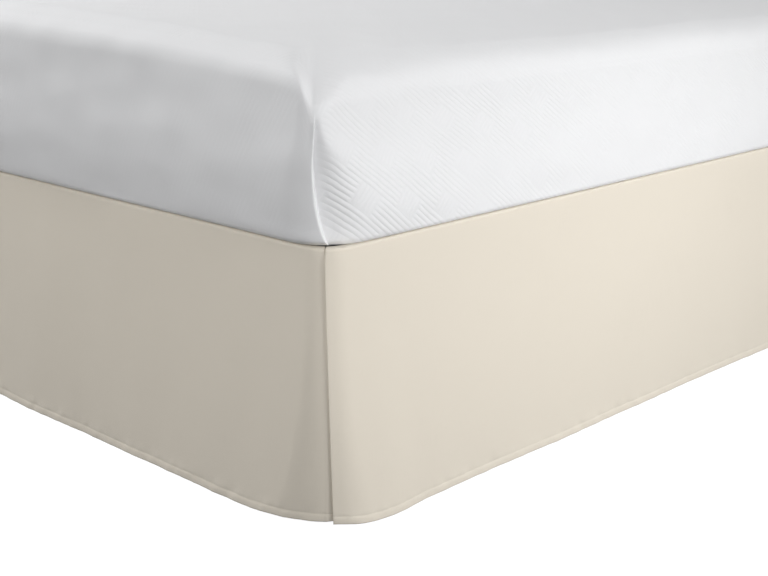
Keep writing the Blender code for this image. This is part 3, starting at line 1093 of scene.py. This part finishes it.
def quarter_points(columns, rows, down):
    """The right foot corner's quarter: x, y and z, the normal's x and y, and the raised weave."""
    quarter_arc = MATTRESS_TURN * pi / 4
    outset, height, out_part = (rows[:, index][:, None] for index in range(3))
    folded = smooth_step(FOLD_TOP, FOLD_TOP - FOLD_FADE, height)
    way = mix(columns[None, :, 3], columns[None, :, 0], folded)
    along = way + fold_shift(height) * bell(way, FOLD_LINE_REACH)
    outset, moved = rolled_edge(outset + foot_bulge(height, along), height, along)
    skew = CORNER_SKEW * smooth_step(*CORNER_SKEW_RISE, height)
    skew = skew * smooth_step(*CORNER_SKEW_FADE, along)
    half_x = HALF_WIDTH + outset - skew
    half_y = HALF_LENGTH + outset + MATTRESS_FOOT_SET + skew
    radius = corner_radius(height, outset)
    turn = -pi / 4 + np.clip(along / quarter_arc, -1.0, 1.0) * pi / 4
    before = np.clip((-along - quarter_arc) / (HALF_WIDTH - MATTRESS_TURN), 0.0, 1.0)
    after = np.clip((along - quarter_arc) / (HALF_LENGTH - MATTRESS_TURN), 0.0, 1.0)
    normal_x, normal_y = np.cos(turn), np.sin(turn)
    x = (half_x - radius) * (1 - before) + radius * normal_x * (before == 0)
    y = -(half_y - radius) * (1 - after) + radius * normal_y * (after == 0)
    relief = fold_relief(columns, way, height, folded) * out_part
    x = np.where(after > 0, half_x, x) + normal_x * relief
    y = np.where(before > 0, -half_y, y) + normal_y * relief
    inward = np.maximum(HALF_WIDTH + ARCH_BEYOND - x, 0.0)
    arch = ARCH * (1 - np.exp(-inward * inward / (inward + ARCH_START) / ARCH_REACH))
    sag = SIDE_SAG * smooth_step(0.0, SIDE_SAG_REACH, along) * np.exp(-inward / SIDE_SAG_IN)
    z = moved + (arch - sag) * smooth_step(ROLL_FROM, EDGE_TOP, height)
    return x, y, z, normal_x, normal_y, raised_weave(way, height, down[:, None])


def build_mattress(material):
    """The mattress in its cover, with a mitred fold at each corner."""
    columns, fold = mattress_columns()
    rows, edge_row, down = mattress_rows()
    x, y, z, normal_x, normal_y, raised = quarter_points(columns, rows, down)
    count = len(columns)
    edge_x, edge_y = x.copy(), y.copy()
    edge_x[:edge_row] = x[edge_row]
    edge_y[:edge_row] = y[edge_row]
    beyond = np.maximum(down, 0.0)[:, None]
    spread = smooth_step(0.0, CLOTH_SPREAD, down[:, None])
    steps = np.hypot(np.diff(x, axis=1), np.diff(y, axis=1))
    foot_arc = np.concatenate([np.zeros((len(rows), 1)), np.cumsum(steps, axis=1)], axis=1)
    side_arc = foot_arc - foot_arc[:, -1:]
    foot_place = together(mix(edge_x, foot_arc, spread), edge_y - beyond)
    side_place = together(edge_x + beyond, mix(edge_y, side_arc, spread))

    # A ring goes round through all four quarters, each of them this one or its mirror image.
    order = []
    for sign_x, sign_y, indices in (
        (1, 1, range(count)),
        (1, -1, range(count - 2, -1, -1)),
        (-1, -1, range(1, count)),
        (-1, 1, range(count - 2, 0, -1)),
    ):
        order += [(sign_x, sign_y, index) for index in indices]
    sign_x, sign_y, index = np.array(order).T
    ring_x, ring_y, ring_z = x[:, index] * sign_x, y[:, index] * sign_y, z[:, index]
    seed = MATTRESS_SEED
    sway = waves(SWAY, seed, ring_x + ring_y, ring_z * SWAY_UPRIGHT + ring_x * SWAY_SLANT)
    sway = sway + waves(FINE_SWAY, seed + 1, ring_x - ring_y, ring_z * FINE_SWAY_UPRIGHT)
    lumps = waves(LUMPS, seed + 2, ring_x, ring_y) + waves(FINE_LUMPS, seed + 3, ring_x, ring_y)
    out_part, up_part = (np.maximum(rows[:, index], 0.0)[:, None] for index in (2, 3))
    sway = sway * out_part * smooth_step(0.0, RESTING_REACH, rows[:, 1] - rows[0, 1])[:, None]
    ring_x = ring_x + normal_x[:, index] * sign_x * sway
    ring_y = ring_y + normal_y[:, index] * sign_y * sway
    ring_z = ring_z + (lumps + LUMPS_SET) * up_part
    points = together(ring_x, ring_y, ring_z).reshape(-1, 3)
    signs = together(sign_x, sign_y)[None]
    foot_uv = (foot_place[:, index] * signs).reshape(-1, 2)
    side_uv = (side_place[:, index] * signs).reshape(-1, 2)

    size = len(order)
    step = np.arange(size)
    following = (step + 1) % size
    on_foot = np.minimum(index, index[following]) < fold
    levels = np.arange(len(rows) - 1)[:, None] * size
    here, there = levels + step, levels + following
    quads = together(here, there, there + size, here + size).reshape(-1, 4)
    foot_face = np.broadcast_to(on_foot, (len(rows) - 1, size)).ravel()
    quad_uv = np.where(foot_face[:, None, None], foot_uv[quads], side_uv[quads])
    faces = quads.tolist()
    uvs = [quad_uv.reshape(-1, 2)]
    for level, way_round in ((0, -1), (len(rows) - 1, 1)):
        face = [level * size + corner for corner in range(size)][::way_round]
        faces.append(face)
        uvs.append(foot_uv[face])
    piece = mesh_piece("mattress_in_cover", points, faces, np.concatenate(uvs), material)
    weave = piece.data.attributes.new("raised", "FLOAT", "POINT")
    weave.data.foreach_set("value", raised[:, index].astype(np.float32).ravel())
    return piece


# ---- plain pieces


def ring(half_x, half_y, radius, height, corner_steps, side_steps):
    """A rounded rectangle of points at one height, anticlockwise seen from above."""
    points = []
    corners = ((1, -1, -pi / 2), (1, 1, 0.0), (-1, 1, pi / 2), (-1, -1, pi))
    for sign_x, sign_y, start in corners:
        centre_x = sign_x * (half_x - radius)
        centre_y = sign_y * (half_y - radius)
        for step in range(corner_steps + 1):
            angle = start + step * (pi / 2) / corner_steps
            points.append((centre_x + radius * cos(angle), centre_y + radius * sin(angle)))
    spaced = []
    for index, (x, y) in enumerate(points):
        next_x, next_y = points[(index + 1) % len(points)]
        steps = side_steps if index % (corner_steps + 1) == corner_steps else 1
        for step in range(steps):
            share = step / steps
            spaced.append((mix(x, next_x, share), mix(y, next_y, share), height))
    return spaced


def stacked(name, rings, material):
    """A closed piece made of rings from the lowest to the highest, with flat ends."""
    points = [point for each in rings for point in each]
    size = len(rings[0])
    faces = [list(reversed(range(size)))]
    for level in range(len(rings) - 1):
        here = level * size
        for step in range(size):
            following = (step + 1) % size
            quad = (step, following, size + following, size + step)
            faces.append([here + corner for corner in quad])
    faces.append(list(range((len(rings) - 1) * size, len(rings) * size)))
    points = np.array(points)
    flat = together(points[:, 0] + points[:, 2], points[:, 1])
    wall = together(points[:, 0] + points[:, 1], points[:, 2])
    uvs = [flat[faces[0]]] + [wall[face] for face in faces[1:-1]] + [flat[faces[-1]]]
    return mesh_piece(name, points, faces, np.concatenate(uvs), material)


def build_deck(material):
    """The deck sheet, with its edge rolled."""
    low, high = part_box("deck")
    roll = (high.z - low.z) / 2
    rings = []
    for step in range(DECK_ROLL_STEPS + 1):
        angle = pi * step / DECK_ROLL_STEPS - pi / 2
        inward = roll * (1 - cos(angle))
        height = (low.z + high.z) / 2 + roll * sin(angle)
        half_x, half_y = high.x - inward, high.y - inward
        rings.append(ring(half_x, half_y, DECK_RADIUS - inward, height, *DECK_RING_STEPS))
    return stacked("deck_sheet", rings, material)


def build_box_spring(material):
    """The box spring, with a seam round it below its top and above its bottom."""
    low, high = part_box("box_spring")
    tall = high.z - low.z
    levels = eased(BOX_EDGE, BOX_EDGE_STEPS)
    for step in range(1, BOX_STEPS):
        rise = mix(BOX_EDGE, tall - BOX_EDGE, step / BOX_STEPS)
        to_seams = (rise - BOX_SEAM_AT, tall - BOX_SEAM_AT - rise)
        groove = sum(BOX_SEAM * bell(to_seam, BOX_SEAM_REACH) for to_seam in to_seams)
        levels.append((groove + BOX_CROWN * (2 * step / BOX_STEPS - 1) ** 2, rise))
    levels += [(inward, tall - rise) for inward, rise in reversed(eased(BOX_EDGE, BOX_EDGE_STEPS))]
    rings = []
    for inward, rise in levels:
        half_x, half_y = high.x - inward, high.y - inward
        rings.append(ring(half_x, half_y, BOX_RADIUS - inward, low.z + rise, *BOX_RING_STEPS))
    return stacked("box_spring_in_cover", rings, material)


def build_leg(node, material):
    """A turned leg on the same taper as its solid, with its edges eased."""
    low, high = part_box(node)
    middle_x, middle_y = (low.x + high.x) / 2, (low.y + high.y) / 2
    top_radius = (high.x - low.x) / 2
    ends = eased(LEG_EASE, LEG_EASE_STEPS)
    levels = [(rise, LEG_FOOT_RADIUS - inward) for inward, rise in ends]
    for step in range(1, LEG_STEPS + 1):
        share = step / LEG_STEPS
        height = mix(LEG_EASE, high.z - LEG_EASE, share)
        levels.append((height, mix(LEG_FOOT_RADIUS, top_radius, share)))
    levels += [(high.z - rise, top_radius - inward) for inward, rise in reversed(ends[:-1])]
    turns = [2 * pi * step / LEG_SIDES for step in range(LEG_SIDES)]
    rings = [
        [(middle_x + radius * cos(turn), middle_y + radius * sin(turn), height) for turn in turns]
        for height, radius in levels
    ]
    return stacked("turned_" + node, rings, material)


# ---- studio

CAMERA_PLACE = (1.8881, -2.0692, 0.761)
CAMERA_TURN = radians(44.3)
CAMERA_DOWN = radians(15.42)
CAMERA_LENS = 62.44
SENSOR = 36.0
CAMERA_CLIP = (0.05, 200.0)


def build_camera():
    camera = linked("camera", bpy.data.cameras.new("camera"))
    camera.data.lens = CAMERA_LENS
    camera.data.sensor_width = SENSOR
    camera.data.clip_start, camera.data.clip_end = CAMERA_CLIP
    camera.location = CAMERA_PLACE
    camera.rotation_euler = (pi / 2 - CAMERA_DOWN, 0.0, CAMERA_TURN)
    bpy.context.scene.camera = camera


FLOOR_HALF = 60.0
FLOOR_DROP = 0.0002
FLOOR_COLOUR = (0.86, 0.86, 0.86)
FLOOR_TONES = (0.99, 1.0)
FLOOR_GLOW = 0.95
FLOOR_ROUGHNESS = 0.95
FLOOR_SPECULAR = 0.1
FLOOR_MOTTLE = 3.0


def floor_finish():
    """A pale matt stage finish with a faint mottle, which glows a little by itself."""
    nodes = Nodes(bpy.data.materials.new("floor"))
    mottle = nodes.noise(nodes.place("Object"), FLOOR_MOTTLE, 2.0)
    return nodes.finish(
        Base_Color=nodes.toned(mottle, FLOOR_COLOUR, FLOOR_TONES),
        Roughness=FLOOR_ROUGHNESS,
        Specular_IOR_Level=FLOOR_SPECULAR,
        Emission_Color=(1.0, 1.0, 1.0, 1.0),
        Emission_Strength=FLOOR_GLOW,
    )


def build_floor():
    signs = ((-1, -1), (1, -1), (1, 1), (-1, 1))
    corners = [(FLOOR_HALF * x, FLOOR_HALF * y, -FLOOR_DROP) for x, y in signs]
    mesh = bpy.data.meshes.new("floor")
    mesh.from_pydata(corners, [], [(0, 1, 2, 3)])
    mesh.materials.append(floor_finish())
    floor = linked("floor", mesh)
    floor.visible_diffuse = False


# Each soft light: where it stands, what it is aimed at, its width and height, and its power.
LIGHTS = {
    "side_light": ((2.062, -0.30, 0.52), (0.762, -0.30, 0.27), (1.2, 0.5), 14.8),
    "foot_light": ((0.30, -1.65, 0.44), (0.30, -1.016, 0.30), (2.4, 0.3), 2.15),
    "corner_light": ((1.75, -2.00, 1.15), (0.74, -0.95, 0.28), (0.6, 0.5), 4.4),
    "far_light": ((-2.51, -1.40, 3.53), (0.62, -0.85, 0.35), (2.0, 2.0), 112.0),
    "back_light": ((-2.60, 2.60, 0.90), (-0.50, 0.80, 0.40), (1.8, 1.2), 26.0),
}

# The sky's brightness at four levels, from -1 straight down to 1 straight up.
SKY_BANDS = ((-0.12, 0.0), (0.0, 0.60), (0.50, 0.60), (0.75, 0.22))


def build_lights():
    for name, (place, aim, size, power) in LIGHTS.items():
        light = linked(name, bpy.data.lights.new(name, "AREA"))
        light.data.energy = power
        light.data.shape = "RECTANGLE"
        light.data.size, light.data.size_y = size
        light.location = place
        way = Vector(aim) - Vector(place)
        light.rotation_euler = way.to_track_quat("-Z", "Y").to_euler()
        light.visible_camera = False


def build_sky():
    nodes = Nodes(bpy.data.worlds.new("studio"))
    bpy.context.scene.world = nodes.owner
    upward = nodes.split(nodes.place("Generated"))[2]
    ramp = nodes.new("ValToRGB", Fac=nodes.spread(upward, -1.0, 1.0))
    elements = ramp.color_ramp.elements
    while len(elements) < len(SKY_BANDS):
        elements.new(0.5)
    for element, (level, brightness) in zip(elements, SKY_BANDS):
        element.position = (level + 1) / 2
        element.color = (brightness, brightness, brightness, 1.0)
    nodes.fill(nodes.tree.nodes["Background"], {"Color": ramp.outputs["Color"]})


# ---- the bed

SEEDS = {"side_drop_right": 11, "side_drop_left": 21, "foot_drop": 31}


def main():
    build_camera()
    build_floor()
    build_lights()
    build_sky()
    bpy.context.scene.view_settings.view_transform = "Standard"
    skirt_cloth = plain_cloth("skirt_cloth", SKIRT_COLOUR, SKIRT_THREAD, SKIRT_SHEEN)
    deck_cloth = plain_cloth("deck_cloth", DECK_COLOUR, SKIRT_THREAD)
    box_cover = plain_cloth("box_spring_cover", BOX_COLOUR, BOX_THREAD)
    cover = woven_cover()
    wood = leg_wood()

    deck = part_of(build_deck(deck_cloth), "deck_cloth", "deck")
    drops = {
        "side_drop_right": SideDrop(1, RIGHT_SIDE_RIPPLES),
        "side_drop_left": SideDrop(-1, LEFT_SIDE_RIPPLES),
        "foot_drop": FootDrop(),
    }
    for node, drop in drops.items():
        cloth = build_drop(node + "_cloth", drop, SEEDS[node], skirt_cloth)
        part_of(cloth, "skirt_cloth", node)
        stitches = hem_stitches(node + "_stitches", drop, SEEDS[node], skirt_cloth)
        part_of(stitches, "skirt_cloth")
    mattress = part_of(build_mattress(cover), "mattress_cover", "mattress")
    box = part_of(build_box_spring(box_cover), "box_spring_cover", "box_spring")
    for node in sorted(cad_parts):
        if node.startswith("leg_"):
            part_of(build_leg(node, wood), "leg_wood", node)


main()
